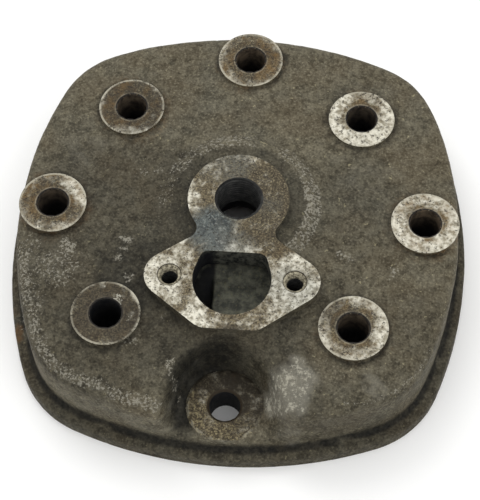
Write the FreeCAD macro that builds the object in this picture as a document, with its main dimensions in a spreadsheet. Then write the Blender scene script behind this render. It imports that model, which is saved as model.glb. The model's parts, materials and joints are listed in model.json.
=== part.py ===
import FreeCAD, Part
import math
import os
import re

import Sketcher

# Cylinder head of a liquid-cooled single-cylinder two-stroke engine, in millimetres.
# Origin: the bore centre on the gasket face. +Z points to the spark plug, -Y to the coolant outlet.

SIZES = (
    # gasket flange and main body outline, a square with bowed sides and large corners
    ("rim_half_width", 69.4),
    ("rim_side_radius", 122.0),
    ("rim_corner_radius", 29.6),
    ("rim_thickness", 5.0),
    ("rim_edge_round", 1.3),
    ("body_half_width", 65.8),
    ("body_side_radius", 112.0),
    ("body_corner_radius", 26.5),
    ("body_edge_round", 3.3),
    ("body_draft", 0.9),
    ("crown_height", 25.8),
    ("crown_radius", 1600.0),
    ("ledge_round", 1.6),
    # cylinder studs: four on the main circle, four on the diagonals
    ("stud_circle", 110.0),
    ("diagonal_stud_circle", 99.6),
    ("stud_hole_radius", 4.5),
    ("stud_mouth_chamfer", 0.4),
    ("boss_radius", 10.0),
    ("boss_face_height", 26.2),
    ("stud_column_radius", 8.6),
    # recess over the front stud
    ("recess_radius", 12.5),
    ("recess_floor_height", 10.0),
    ("recess_draft", 8.0),
    ("recess_mouth_half_width", 19.0),
    ("recess_mouth_reach", 76.0),
    ("front_boss_radius", 11.1),
    ("front_boss_height", 11.1),
    ("front_fill_back", 51.0),
    # spark plug seat
    ("plug_offset", 3.1),
    ("seat_radius", 15.0),
    ("machined_face_height", 29.4),
    ("hump_top_radius", 22.3),
    ("hump_foot_radius", 27.2),
    ("hump_height", 27.0),
    ("hump_edge_round", 1.2),
    ("plug_column_radius", 13.0),
    ("plug_bore_radius", 6.35),
    ("plug_clearance_radius", 7.1),
    ("plug_insert_radius", 8.2),
    ("plug_insert_length", 13.0),
    ("plug_insert_chamfer", 0.7),
    # coolant outlet flange
    ("outlet_pitch", 36.0),
    ("outlet_offset", 23.2),
    ("outlet_lobe_radius", 7.3),
    ("outlet_front_offset", 33.5),
    ("outlet_front_half_width", 6.43),
    ("outlet_front_radius", 6.0),
    ("outlet_neck_offset", 8.12),
    ("outlet_neck_half_width", 5.85),
    ("outlet_neck_radius", 2.0),
    ("neck_round", 3.5),
    ("outlet_column_radius", 6.3),
    ("outlet_column_foot", 11.0),
    ("outlet_bore_radius", 2.5),
    ("outlet_insert_radius", 3.3),
    ("outlet_insert_length", 12.0),
    ("outlet_insert_chamfer", 0.3),
    ("outlet_tapping_depth", 14.0),
    # coolant outlet port: a round hole with a flat side and two small corners towards the plug
    ("port_radius", 11.3),
    ("port_offset", 23.6),
    ("port_corner_half_width", 7.0),
    ("port_corner_offset", 17.8),
    ("port_corner_radius", 2.9),
    ("port_shelf_height", 16.0),
    ("port_shelf_edge", 6.2),
    ("port_wall", 2.0),
    # combustion chamber
    ("chamber_radius", 33.0),
    ("chamber_step", 0.8),
    ("bowl_radius", 26.0),
    ("bowl_rim_height", 2.0),
    ("dome_height", 13.5),
    ("dome_radius", 35.1),
    ("chamber_wall", 6.0),
    # water jacket and its ways to the cylinder
    ("jacket_half_width", 60.0),
    ("jacket_side_radius", 104.0),
    ("jacket_corner_radius", 21.0),
    ("jacket_floor_height", 7.0),
    ("jacket_roof_height", 20.0),
    ("recess_wall", 5.0),
    ("recess_side_wall", 1.0),
    ("kidney_inner_radius", 43.5),
    ("kidney_outer_radius", 50.5),
    ("kidney_angle", 12.0),
    # seals in the gasket face
    ("seal_depth", 1.9),
    ("seal_round", 0.85),
    ("chamber_seal_inner_radius", 36.0),
    ("chamber_seal_outer_radius", 38.6),
    ("jacket_seal_outer_half_width", 65.8),
    ("jacket_seal_outer_side_radius", 116.4),
    ("jacket_seal_outer_corner_radius", 26.4),
    ("jacket_seal_width", 2.6),
)

# Cutting tools reach this far outside the metal, so that they leave no skin.
OVERSHOOT = 5.0
ABOVE = 40.0
QUARTER_TURNS = (0, 90, 180, 270)
DIAGONALS = (45, 135, 225, 315)

doc = FreeCAD.newDocument("cylinder_head")
sizes = doc.addObject("Spreadsheet::Sheet", "sizes")
for row, (alias, value) in enumerate(SIZES, start=1):
    sizes.set("A%d" % row, alias)
    sizes.set("B%d" % row, "%g" % value)
    sizes.setAlias("B%d" % row, alias)
doc.recompute()


def in_sheet(expression):
    """Put the sheet's name in front of every alias in an expression."""
    aliases = {alias for alias, _ in SIZES}
    return re.sub(r"[a-z_]+", lambda word: "sizes." + word[0] if word[0] in aliases else word[0],
                  str(expression))


def amount(expression):
    """The present value of an expression of aliases."""
    return float(sizes.evalExpression(in_sheet(expression)))


def bind(item, **properties):
    for name, expression in properties.items():
        item.setExpression(name, in_sheet(expression))
    return item


def put(item, x="0", y="0", z="0", turn="0"):
    item.setExpression(".Placement.Base.x", in_sheet(x))
    item.setExpression(".Placement.Base.y", in_sheet(y))
    item.setExpression(".Placement.Base.z", in_sheet(z))
    item.setExpression(".Placement.Rotation.Angle", in_sheet(turn))
    return item


def cylinder(name, radius, height, **place):
    return put(bind(doc.addObject("Part::Cylinder", name), Radius=radius, Height=height), **place)


def cone(name, low_radius, high_radius, height, **place):
    body = doc.addObject("Part::Cone", name)
    return put(bind(body, Radius1=low_radius, Radius2=high_radius, Height=height), **place)


def ball(name, radius, **place):
    return put(bind(doc.addObject("Part::Sphere", name), Radius=radius), **place)


def block(name, length, width, height, **place):
    body = doc.addObject("Part::Box", name)
    return put(bind(body, Length=length, Width=width, Height=height), **place)


def fuse(name, parts):
    joined = doc.addObject("Part::MultiFuse", name)
    joined.Shapes = parts
    joined.Refine = True
    return joined


def common(name, parts):
    shared = doc.addObject("Part::MultiCommon", name)
    shared.Shapes = parts
    return shared


def cut(name, base, tool):
    rest = doc.addObject("Part::Cut", name)
    rest.Base = base
    rest.Tool = tool
    return rest


def rounded(name, base, radius, chosen):
    """Round the edges of base that chosen(edge) picks."""
    doc.recompute()
    size = amount(radius)
    numbers = [number for number, edge in enumerate(base.Shape.Edges, start=1) if chosen(edge)]
    if not numbers:
        raise SystemExit("no edge to round on " + name)
    item = doc.addObject("Part::Fillet", name)
    item.Base = base
    item.Edges = [(number, size, size) for number in numbers]
    return item


def is_upright(edge):
    return edge.BoundBox.ZLength > 0.9 * edge.Length


def is_level_at(height):
    """A test for the edges that lie near one height."""
    return lambda edge: not is_upright(edge) and abs(edge.BoundBox.Center.z - height) < 1.0


def rounded_square(name, half_width, side_radius, corner_radius, low, high, draft="0"):
    """A prism with four bowed sides and four round corners, narrower towards the top by draft."""
    height = "(%s) - (%s)" % (high, low)
    offset = "(%s) - (%s)" % (half_width, side_radius)
    sides = []
    for number, turn in enumerate(QUARTER_TURNS):
        along_x = "(%s) * %d" % (offset, round(math.cos(math.radians(turn))))
        along_y = "(%s) * %d" % (offset, round(math.sin(math.radians(turn))))
        side_name = "%s_side_%d" % (name, number)
        if draft == "0":
            side = cylinder(side_name, side_radius, height, x=along_x, y=along_y, z=low)
        else:
            top_radius = "(%s) - (%s) * tan(%s * 1deg)" % (side_radius, height, draft)
            side = cone(side_name, side_radius, top_radius, height, x=along_x, y=along_y, z=low)
        sides.append(side)
    square = common(name + "_square", sides)
    return rounded(name, square, corner_radius, is_upright)


def tangent_outline(name, rolls, height):
    """A sketch of a belt round circles, given anticlockwise as (x, y, radius) expressions."""
    circles = [tuple(amount(term) for term in roll) for roll in rolls]
    count = len(circles)
    normals = []
    for here in range(count):
        x_one, y_one, r_one = circles[here]
        x_two, y_two, r_two = circles[(here + 1) % count]
        heading = math.atan2(y_two - y_one, x_two - x_one)
        lean = math.acos((r_one - r_two) / math.hypot(x_two - x_one, y_two - y_one))
        normals.append(heading - lean)
    sketch = doc.addObject("Sketcher::SketchObject", name)
    put(sketch, z=height)
    for here in range(count):
        x, y, radius = circles[here]
        circle = Part.Circle(FreeCAD.Vector(x, y, 0), FreeCAD.Vector(0, 0, 1), radius)
        start = normals[here - 1]
        end = normals[here]
        while end < start:
            end += 2 * math.pi
        sketch.addGeometry(Part.ArcOfCircle(circle, start, end))
    for here in range(count):
        ends = []
        for other in (here, (here + 1) % count):
            x, y, radius = circles[other]
            reach_x = radius * math.cos(normals[here])
            reach_y = radius * math.sin(normals[here])
            ends.append(FreeCAD.Vector(x + reach_x, y + reach_y, 0))
        sketch.addGeometry(Part.LineSegment(*ends))
    for here in range(count):
        line = count + here
        sketch.addConstraint(Sketcher.Constraint("Tangent", here, 2, line, 1))
        sketch.addConstraint(Sketcher.Constraint("Tangent", line, 2, (here + 1) % count, 1))
    for here, roll in enumerate(rolls):
        x, y, radius = circles[here]
        for kind, term, size in (("DistanceX", roll[0], x), ("DistanceY", roll[1], y)):
            number = sketch.addConstraint(Sketcher.Constraint(kind, -1, 1, here, 3, size))
            sketch.setExpression("Constraints[%d]" % number, in_sheet(term))
        number = sketch.addConstraint(Sketcher.Constraint("Radius", here, radius))
        sketch.setExpression("Constraints[%d]" % number, in_sheet(roll[2]))
    return sketch


def raised(name, sketch, height, taper="0"):
    """Extrude a level sketch upwards; a positive taper widens it towards the top."""
    solid = doc.addObject("Part::Extrusion", name)
    solid.Base = sketch
    solid.DirMode = "Custom"
    solid.Dir = FreeCAD.Vector(0, 0, 1)
    solid.Solid = True
    return bind(solid, LengthFwd=height, TaperAngle=taper)


def around(angle, circle):
    """The place, as expressions, at an angle on a circle whose diameter is an expression."""
    return {
        "x": "%s / 2 * cos(%ddeg)" % (circle, angle),
        "y": "%s / 2 * sin(%ddeg)" % (circle, angle),
    }


def stud_places():
    places = [around(angle, "stud_circle") for angle in QUARTER_TURNS]
    return places + [around(angle, "diagonal_stud_circle") for angle in DIAGONALS]


def outer_casting():
    """The flange and the drafted body with its crowned top, before anything is cut."""
    flange_square = rounded_square("flange", "rim_half_width", "rim_side_radius",
                                   "rim_corner_radius", "0", "rim_thickness")
    flange = rounded("flange_rounded", flange_square, "rim_edge_round",
                     is_level_at(amount("rim_thickness")))
    prism = rounded_square("body_prism", "body_half_width", "body_side_radius",
                           "body_corner_radius", "0", "crown_height + %g" % OVERSHOOT,
                           draft="body_draft")
    crown = ball("crown", "crown_radius", z="crown_height - crown_radius")
    block_shape = common("body_crowned", [prism, crown])
    crown_fall = amount("body_half_width ^ 2 / (2 * crown_radius)")
    body = rounded("body_rounded", block_shape, "body_edge_round",
                   is_level_at(amount("crown_height") - crown_fall))
    both = fuse("flange_and_body", [flange, body])
    return body, rounded("ledge_filleted", both, "ledge_round", is_on_ledge)


def is_on_ledge(edge):
    """The inside corner where the body rises from the flange."""
    box = edge.BoundBox
    inside = amount("rim_half_width - rim_edge_round") - 0.2
    reach = max(box.XMax, box.YMax, -box.XMin, -box.YMin)
    return abs(box.Center.z - amount("rim_thickness")) < 0.01 and box.ZLength < 0.01 and reach < inside


def stud_bosses():
    """Round faces for the stud nuts; the front stud has its own in the recess."""
    bosses = []
    for number, place in enumerate(stud_places()):
        if number == QUARTER_TURNS.index(270):
            continue
        height = "boss_face_height - jacket_floor_height"
        bosses.append(cylinder("boss_%d" % number, "boss_radius", height,
                               z="jacket_floor_height", **place))
    return bosses


def front_recess():
    rolls = (
        ("0", "-stud_circle / 2", "recess_radius"),
        ("-recess_mouth_half_width", "-recess_mouth_reach", "1"),
        ("recess_mouth_half_width", "-recess_mouth_reach", "1"),
    )
    outline = tangent_outline("recess_outline", rolls, "recess_floor_height")
    return raised("recess", outline, "%g - recess_floor_height" % ABOVE, taper="recess_draft")


def front_boss(body):
    """The nut face in the recess, cut off at the body's front wall and joined to it on one side."""
    height = "front_boss_height - jacket_floor_height"
    face = cylinder("front_boss", "front_boss_radius", height,
                    y="-stud_circle / 2", z="jacket_floor_height")
    fill = block("front_boss_fill", "recess_mouth_half_width",
                 "recess_mouth_reach - front_fill_back", height,
                 y="-recess_mouth_reach", z="jacket_floor_height")
    both = fuse("front_boss_and_fill", [face, fill])
    return common("front_boss_trimmed", [both, body])


def plug_hump():
    """A low cone round the plug seat."""
    hump = cone("hump", "hump_foot_radius", "hump_top_radius", "hump_height - jacket_roof_height",
                y="plug_offset", z="jacket_roof_height")
    return rounded("hump_rounded", hump, "hump_edge_round", is_level_at(amount("hump_height")))


def machined_pads():
    """The plug seat and the outlet flange, level with each other and blended at the neck."""
    rise = "machined_face_height - jacket_roof_height"
    seat = cylinder("plug_seat", "seat_radius", rise, y="plug_offset", z="jacket_roof_height")
    rolls = (
        ("outlet_pitch / 2", "-outlet_offset", "outlet_lobe_radius"),
        ("outlet_neck_half_width", "-outlet_neck_offset", "outlet_neck_radius"),
        ("-outlet_neck_half_width", "-outlet_neck_offset", "outlet_neck_radius"),
        ("-outlet_pitch / 2", "-outlet_offset", "outlet_lobe_radius"),
        ("-outlet_front_half_width", "-outlet_front_offset", "outlet_front_radius"),
        ("outlet_front_half_width", "-outlet_front_offset", "outlet_front_radius"),
    )
    outline = tangent_outline("outlet_outline", rolls, "jacket_roof_height")
    flange = raised("outlet_flange", outline, rise)
    both = fuse("seat_and_flange", [seat, flange])
    return rounded("machined_pads", both, "neck_round", is_at_neck)


def is_at_neck(edge):
    """The two upright edges where the flange runs into the plug seat."""
    behind = -amount("port_corner_offset - port_corner_radius")
    return is_upright(edge) and behind < edge.BoundBox.YMin < 0


def outlet_port():
    """A well from the flange face down to the shelf, round with one flat side."""
    rolls = (
        ("port_corner_half_width", "-port_corner_offset", "port_corner_radius"),
        ("-port_corner_half_width", "-port_corner_offset", "port_corner_radius"),
        ("0", "-port_offset", "port_radius"),
    )
    outline = tangent_outline("port_outline", rolls, "port_shelf_height")
    return raised("port", outline, "%g - port_shelf_height" % ABOVE)


def outlet_bolt_places():
    return [{"x": "%d * outlet_pitch / 2" % side, "y": "-outlet_offset"} for side in (-1, 1)]


def water_jacket():
    """The hollow over the chamber, less the walls and columns that cross it."""
    rise = "jacket_roof_height - jacket_floor_height"
    room = rounded_square("jacket_room", "jacket_half_width", "jacket_side_radius",
                          "jacket_corner_radius", "jacket_floor_height", "jacket_roof_height",
                          draft="body_draft")
    walls = [
        ball("chamber_roof", "dome_radius + chamber_wall", z="dome_height - dome_radius"),
        cylinder("plug_column", "plug_column_radius", rise, y="plug_offset",
                 z="jacket_floor_height"),
        cone("recess_back_wall", "recess_radius + recess_wall",
             "recess_radius + recess_wall + (%s) * tan(recess_draft * 1deg)" % rise, rise,
             y="-stud_circle / 2", z="jacket_floor_height"),
        block("recess_side_walls", "(recess_mouth_half_width + recess_side_wall) * 2",
              "recess_radius * 2", rise, x="-recess_mouth_half_width - recess_side_wall",
              y="-stud_circle / 2 - recess_radius * 2", z="jacket_floor_height"),
        block("port_shelf", "port_radius + port_shelf_edge + port_wall",
              "(port_radius + port_wall) * 2", "port_shelf_height - jacket_floor_height",
              x="-port_shelf_edge", y="-port_offset - port_radius - port_wall",
              z="jacket_floor_height"),
    ]
    for number, place in enumerate(stud_places()):
        walls.append(cylinder("stud_column_%d" % number, "stud_column_radius", rise,
                              z="jacket_floor_height", **place))
    for number, place in enumerate(outlet_bolt_places()):
        walls.append(cylinder("outlet_column_%d" % number, "outlet_column_radius",
                              "jacket_roof_height - outlet_column_foot",
                              z="outlet_column_foot", **place))
    return cut("water_jacket", room, fuse("jacket_walls", walls))


def kidney_ways():
    """Curved slots through the gasket face, one between each pair of studs."""
    rise = "jacket_floor_height + %g + 1" % OVERSHOOT
    low = "%g" % -OVERSHOOT
    middle = "(kidney_inner_radius + kidney_outer_radius)"
    end_radius = "(kidney_outer_radius - kidney_inner_radius) / 2"
    sectors = []
    ends = []
    for number in range(8):
        angle = 22.5 + 45 * number
        sector = cylinder("kidney_sector_%d" % number, "kidney_outer_radius", rise,
                          z=low, turn="%g - kidney_angle / 2" % angle)
        sectors.append(bind(sector, Angle="kidney_angle"))
        for end, side in (("first", -0.5), ("last", 0.5)):
            turn = "((%g + %g * kidney_angle) * 1deg)" % (angle, side)
            ends.append(cylinder("kidney_%s_end_%d" % (end, number), end_radius, rise, z=low,
                                 x="%s / 2 * cos%s" % (middle, turn),
                                 y="%s / 2 * sin%s" % (middle, turn)))
    core = cylinder("kidney_core", "kidney_inner_radius", rise, z=low)
    slots = cut("kidney_slots", fuse("kidney_sectors", sectors), core)
    return fuse("kidney_ways", [slots] + ends)


def combustion_chamber():
    """A shallow squish band round a domed bowl."""
    step = cylinder("chamber_mouth", "chamber_radius", "chamber_step + %g" % OVERSHOOT,
                    z="%g" % -OVERSHOOT)
    band = cone("squish_band", "chamber_radius", "bowl_radius", "bowl_rim_height - chamber_step",
                z="chamber_step")
    bowl = ball("chamber_bowl", "dome_radius", z="dome_height - dome_radius")
    return [step, band, bowl]


def stud_holes():
    """Clearance holes right through, with a chamfer at each nut face."""
    holes = []
    front = QUARTER_TURNS.index(270)
    for number, place in enumerate(stud_places()):
        holes.append(cylinder("stud_hole_%d" % number, "stud_hole_radius",
                              "%g + %g" % (OVERSHOOT, ABOVE), z="%g" % -OVERSHOOT, **place))
        face = "front_boss_height" if number == front else "boss_face_height"
        holes.append(cone("stud_mouth_%d" % number, "stud_hole_radius",
                          "stud_hole_radius + stud_mouth_chamfer * 2", "stud_mouth_chamfer * 2",
                          z="%s - stud_mouth_chamfer" % face, **place))
    return holes


def plug_hole():
    """A seat for the thread insert, and the plain hole below it into the chamber."""
    foot = "machined_face_height - plug_insert_length"
    return [
        cylinder("plug_clearance", "plug_clearance_radius", "%g" % ABOVE, y="plug_offset"),
        cylinder("plug_insert_seat", "plug_insert_radius", "plug_insert_length + %g" % OVERSHOOT,
                 y="plug_offset", z=foot),
    ]


def outlet_tappings():
    """Blind holes for the two outlet bolts, wide enough for their thread inserts."""
    holes = []
    for number, place in enumerate(outlet_bolt_places()):
        holes.append(cylinder("outlet_tapping_%d" % number, "outlet_bore_radius",
                              "outlet_tapping_depth + %g" % OVERSHOOT,
                              z="machined_face_height - outlet_tapping_depth", **place))
        holes.append(cylinder("outlet_insert_seat_%d" % number, "outlet_insert_radius",
                              "outlet_insert_length + %g" % OVERSHOOT,
                              z="machined_face_height - outlet_insert_length", **place))
    return holes


def round_seal(name, low, high):
    outer = cylinder(name + "_outer", "chamber_seal_outer_radius", "(%s) - (%s)" % (high, low), z=low)
    inner = cylinder(name + "_inner", "chamber_seal_inner_radius", "(%s) - (%s)" % (high, low), z=low)
    return cut(name, outer, inner)


def square_seal(name, low, high):
    outer = rounded_square(name + "_outer", "jacket_seal_outer_half_width",
                           "jacket_seal_outer_side_radius", "jacket_seal_outer_corner_radius",
                           low, high)
    inner = rounded_square(name + "_inner", "jacket_seal_outer_half_width - jacket_seal_width",
                           "jacket_seal_outer_side_radius - jacket_seal_width",
                           "jacket_seal_outer_corner_radius - jacket_seal_width", low, high)
    return cut(name, outer, inner)


def seal_ring(name, ring):
    """A rubber ring pressed flush into its groove, with its four corners rounded."""
    seal = rounded(name, ring, "seal_round", lambda edge: not is_upright(edge))
    seal.Label = name
    return seal


def thread_insert(name, bore, outer, length, chamfer, place):
    """A sleeve flush with its face, turned from one profile, with a chamfer at the mouth."""
    body = doc.addObject("PartDesign::Body", name)
    sketch = body.newObject("Sketcher::SketchObject", name + "_profile")
    side_plane = [plane for plane in body.Origin.OriginFeatures if plane.Role == "XZ_Plane"][0]
    sketch.AttachmentSupport = [(side_plane, "")]
    sketch.MapMode = "FlatFace"
    r_in, r_out, long, lead = (amount(term) for term in (bore, outer, length, chamfer))
    corners = [(r_in, -long), (r_out, -long), (r_out, 0), (r_in + lead, 0), (r_in, -lead)]
    points = [FreeCAD.Vector(x, y, 0) for x, y in corners]
    count = len(points)
    for here in range(count):
        sketch.addGeometry(Part.LineSegment(points[here], points[(here + 1) % count]))
    for here in range(count):
        sketch.addConstraint(Sketcher.Constraint("Coincident", here, 2, (here + 1) % count, 1))
    for line in (0, 2):
        sketch.addConstraint(Sketcher.Constraint("Horizontal", line))
    for line in (1, 4):
        sketch.addConstraint(Sketcher.Constraint("Vertical", line))
    sketch.addConstraint(Sketcher.Constraint("PointOnObject", 2, 1, -1))
    sized = (
        ("DistanceX", (-1, 1, 0, 1), r_in, bore),
        ("DistanceX", (-1, 1, 1, 1), r_out, outer),
        ("DistanceY", (1, 1, 1, 2), long, length),
        ("DistanceX", (0, 1, 2, 2), lead, chamfer),
        ("DistanceY", (4, 1, 2, 2), lead, chamfer),
    )
    for kind, ends, size, term in sized:
        number = sketch.addConstraint(Sketcher.Constraint(kind, *ends, size))
        sketch.setExpression("Constraints[%d]" % number, in_sheet(term))
    turned = body.newObject("PartDesign::Revolution", name + "_turned")
    turned.Profile = sketch
    turned.ReferenceAxis = (sketch, ["V_Axis"])
    turned.Angle = 360
    body.Tip = turned
    return put(body, **place)


def head_casting():
    body, outside = outer_casting()
    scooped = cut("casting_scooped", outside, front_recess())
    additions = stud_bosses() + [plug_hump(), machined_pads(), front_boss(body)]
    metal = fuse("casting_metal", [scooped] + additions)
    hollows = combustion_chamber() + stud_holes() + plug_hole() + outlet_tappings()
    hollows += [outlet_port(), water_jacket(), kidney_ways()]
    hollows.append(round_seal("chamber_seal_groove", "%g" % -OVERSHOOT, "seal_depth"))
    hollows.append(square_seal("jacket_seal_groove", "%g" % -OVERSHOOT, "seal_depth"))
    casting = cut("head_casting", metal, fuse("casting_hollows", hollows))
    casting.Label = "head_casting"
    return casting


pieces = [
    head_casting(),
    thread_insert("plug_thread_insert", "plug_bore_radius", "plug_insert_radius",
                  "plug_insert_length", "plug_insert_chamfer",
                  {"y": "plug_offset", "z": "machined_face_height"}),
    seal_ring("chamber_seal_ring", round_seal("chamber_seal", "0", "seal_depth")),
    seal_ring("jacket_seal_ring", square_seal("jacket_seal", "0", "seal_depth")),
]
for side, place in zip(("left", "right"), outlet_bolt_places()):
    place["z"] = "machined_face_height"
    pieces.append(thread_insert("outlet_thread_insert_" + side, "outlet_bore_radius",
                                "outlet_insert_radius", "outlet_insert_length",
                                "outlet_insert_chamfer", place))

doc.recompute()
for item in doc.Objects:
    if "Invalid" in item.State or "Error" in item.State:
        raise SystemExit("%s did not recompute: %s" % (item.Name, item.State))
for piece in pieces:
    if piece.Shape.isNull() or not piece.Shape.isValid():
        raise SystemExit(piece.Label + " has no valid shape")
    if len(piece.Shape.Solids) != 1:
        raise SystemExit("%s has %d solids" % (piece.Label, len(piece.Shape.Solids)))

os.makedirs("parts", exist_ok=True)
for piece in pieces:
    piece.Shape.exportStep("parts/%s.step" % piece.Label)
    box = piece.Shape.optimalBoundingBox()
    print("%-26s %9.1f mm3  x %.1f to %.1f  y %.1f to %.1f  z %.1f to %.1f" % (
        piece.Label, piece.Shape.Volume, box.XMin, box.XMax, box.YMin, box.YMax, box.ZMin, box.ZMax))
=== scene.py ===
import json
import math

import bpy
import numpy as np
from mathutils import Matrix, Vector


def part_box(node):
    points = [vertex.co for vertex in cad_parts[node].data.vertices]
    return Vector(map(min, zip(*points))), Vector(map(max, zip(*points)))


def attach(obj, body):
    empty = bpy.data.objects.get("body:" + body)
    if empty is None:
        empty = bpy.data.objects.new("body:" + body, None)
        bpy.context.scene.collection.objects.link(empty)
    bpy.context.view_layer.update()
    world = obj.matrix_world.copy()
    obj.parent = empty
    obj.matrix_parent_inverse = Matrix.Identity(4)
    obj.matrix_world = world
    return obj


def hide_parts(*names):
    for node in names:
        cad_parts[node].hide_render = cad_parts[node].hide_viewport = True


# A worn aluminium cylinder head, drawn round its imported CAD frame. Lengths here are millimetres, and
# Blender's are metres: MM turns one into the other.

MM = 0.001

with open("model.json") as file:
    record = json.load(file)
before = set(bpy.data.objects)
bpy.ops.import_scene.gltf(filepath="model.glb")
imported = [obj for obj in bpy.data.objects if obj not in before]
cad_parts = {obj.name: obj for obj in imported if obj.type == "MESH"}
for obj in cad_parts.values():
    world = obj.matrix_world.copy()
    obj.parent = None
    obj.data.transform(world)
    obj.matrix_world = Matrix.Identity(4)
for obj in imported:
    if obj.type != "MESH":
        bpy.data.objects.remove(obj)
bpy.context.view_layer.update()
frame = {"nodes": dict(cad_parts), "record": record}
casting_node = frame["nodes"]["head_casting"]


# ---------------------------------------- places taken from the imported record

def mount(name):
    return next(m for m in frame["record"]["mounts"] if m["name"] == name)


def mount_place(name):
    return np.array(mount(name)["pos_m"]) / MM


def circle_of_places(name, first_angle):
    """The axes of an evenly spaced circle of four holes, as x, y pairs."""
    centre = mount_place(name)
    radius = mount(name)["dims"]["pcd_mm"] / 2
    angles = [math.radians(first_angle + 90 * step) for step in range(4)]
    return [(centre[0] + radius * math.cos(a), centre[1] + radius * math.sin(a)) for a in angles]


STUD_RIGHT, STUD_BACK, STUD_LEFT, STUD_FRONT = circle_of_places("stud_holes_main", 0)
DIAGONAL_STUDS = circle_of_places("stud_holes_diagonal", 45)
STUD_BACK_RIGHT, STUD_BACK_LEFT, STUD_FRONT_LEFT, STUD_FRONT_RIGHT = DIAGONAL_STUDS
RAISED_STUDS = (STUD_RIGHT, STUD_BACK, STUD_LEFT, *DIAGONAL_STUDS)
STUD_HOLE_RADIUS = mount("stud_holes_main")["dims"]["hole_r_mm"]
PLUG = tuple(mount_place("spark_plug_thread")[:2])
FACE_HEIGHT = mount_place("coolant_outlet_face")[2]
OUTLET_MIDDLE = mount_place("coolant_outlet_bolts")
OUTLET_PITCH = mount("coolant_outlet_bolts")["dims"]["spacing_x_mm"]
OUTLET_BOLTS = [(OUTLET_MIDDLE[0] + side * OUTLET_PITCH / 2, OUTLET_MIDDLE[1]) for side in (-1, 1)]


def points_of(mesh):
    """A mesh's vertices as an array of millimetres."""
    flat = np.empty(len(mesh.vertices) * 3)
    mesh.vertices.foreach_get("co", flat)
    return flat.reshape(-1, 3) / MM


def distance_to(points, place):
    return np.hypot(points[:, 0] - place[0], points[:, 1] - place[1])


def nearest_stud(points):
    """How far points are from the axis of the nearest raised stud boss."""
    return np.min([distance_to(points, stud) for stud in RAISED_STUDS], axis=0)


def top_within(place, radius):
    """How high the casting stands within a radius of a place."""
    points = points_of(casting_node.data)
    return points[distance_to(points, place) < radius, 2].max()


# sizes of the casting that the record doesn't state
BOSS_RADIUS = 10.0
BOSS_HEIGHT = top_within(STUD_RIGHT, BOSS_RADIUS + 0.1)
BOSS_WALL = 1.6
FRONT_BOSS_RADIUS = 11.1
FRONT_BOSS_HEIGHT = top_within(STUD_FRONT, 7.0)
PORT_CENTRE = (0.0, -23.0)
PORT_RADIUS = 12.0

# a bowed square's half width, the radius of its sides and the radius of its corners
BODY_OUTLINE = (65.8, 112.0, 26.5)
JACKET_OUTLINE = (60.0, 104.0, 21.0)

# the mouths of the outlet bolt holes and of the front stud hole, which open in shallow cones
BOLT_MOUTH_RADIUS = 3.8
BOLT_SINK = 0.5
FRONT_MOUTH_RADIUS = 5.2
FRONT_SINK = 0.7


# ---------------------------------------- noise and masks on arrays of points

AXIS_PRIMES = (73856093, 19349663, 83492791)
SEED_PRIME = 2654435761
MIXING_PRIME = 1274126177


def lattice_value(cells, seed):
    """A repeatable number from -1 to 1 for each whole-number cell."""
    mixed = np.bitwise_xor.reduce(cells * np.array(AXIS_PRIMES), axis=1) ^ seed * SEED_PRIME
    mixed = (mixed ^ (mixed >> 13)) * MIXING_PRIME
    mixed = (mixed ^ (mixed >> 16)) & 0xFFFFFF
    return mixed / 0x7FFFFF - 1.0


def noise(points, size, seed):
    """Smooth noise from -1 to 1, with lumps about one size across."""
    places = points / size + 1000.0
    low = np.floor(places).astype(np.int64)
    part = places - low
    ease = part * part * (3 - 2 * part)
    total = np.zeros(len(points))
    for corner in np.ndindex(2, 2, 2):
        weight = np.ones(len(points))
        for axis in range(3):
            weight *= ease[:, axis] if corner[axis] else 1 - ease[:, axis]
        total += weight * lattice_value(low + np.array(corner), seed)
    return total


def layered(points, size, seed, layers=3):
    """Noise with finer and fainter layers added."""
    total = np.zeros(len(points))
    for layer in range(layers):
        total += noise(points, size / 2**layer, seed + 11 * layer) / 1.7**layer
    return total


def step(value, low, high):
    """Rises smoothly from 0 at low to 1 at high."""
    part = np.clip((value - low) / (high - low), 0, 1)
    return part * part * (3 - 2 * part)


def patch(points, place, radius, soft=0.45):
    """1 at a place, falling to 0 at a radius."""
    return 1 - step(distance_to(points, place), radius * (1 - soft), radius)


def outside_square(points, half_width, side_radius, corner_radius):
    """How far points lie outside a square with bowed sides and rounded corners; inside it is below zero."""
    x, y = np.abs(points[:, 0]), np.abs(points[:, 1])
    behind = side_radius - half_width
    side = np.maximum(np.hypot(x + behind, y), np.hypot(x, y + behind)) - side_radius
    inner = side_radius - corner_radius
    corner = (math.sqrt(2 * inner**2 - behind**2) - behind) / 2
    round_part = np.hypot(x - corner, y - corner) - corner_radius
    return np.where((x > corner) & (y > corner), round_part, side)


# ---------------------------------------- mesh work

CELL = 0.55
REMESH_DEPTH = 8
WELD_DISTANCE = 0.001
FINAL_TRIANGLES = 196000


def put_in_scene(name, data):
    """A new object in the scene from a mesh, a lamp or a camera."""
    thing = bpy.data.objects.new(name, data)
    bpy.context.scene.collection.objects.link(thing)
    return thing


def apply_modifiers(piece):
    graph = bpy.context.evaluated_depsgraph_get()
    mesh = bpy.data.meshes.new_from_object(piece.evaluated_get(graph))
    piece.modifiers.clear()
    piece.data = mesh


def even_copy(node, name):
    """A copy of a CAD node's mesh made of small even faces, with its sharp edges kept."""
    piece = put_in_scene(name, node.data.copy())
    piece.data.materials.clear()
    weld = piece.modifiers.new("weld", "WELD")
    weld.merge_threshold = WELD_DISTANCE * MM
    remesh = piece.modifiers.new("remesh", "REMESH")
    remesh.mode = "SHARP"
    remesh.octree_depth = REMESH_DEPTH
    remesh.scale = max(piece.dimensions) / (CELL * MM * 2**REMESH_DEPTH)
    remesh.use_remove_disconnected = False
    apply_modifiers(piece)
    return piece


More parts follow.
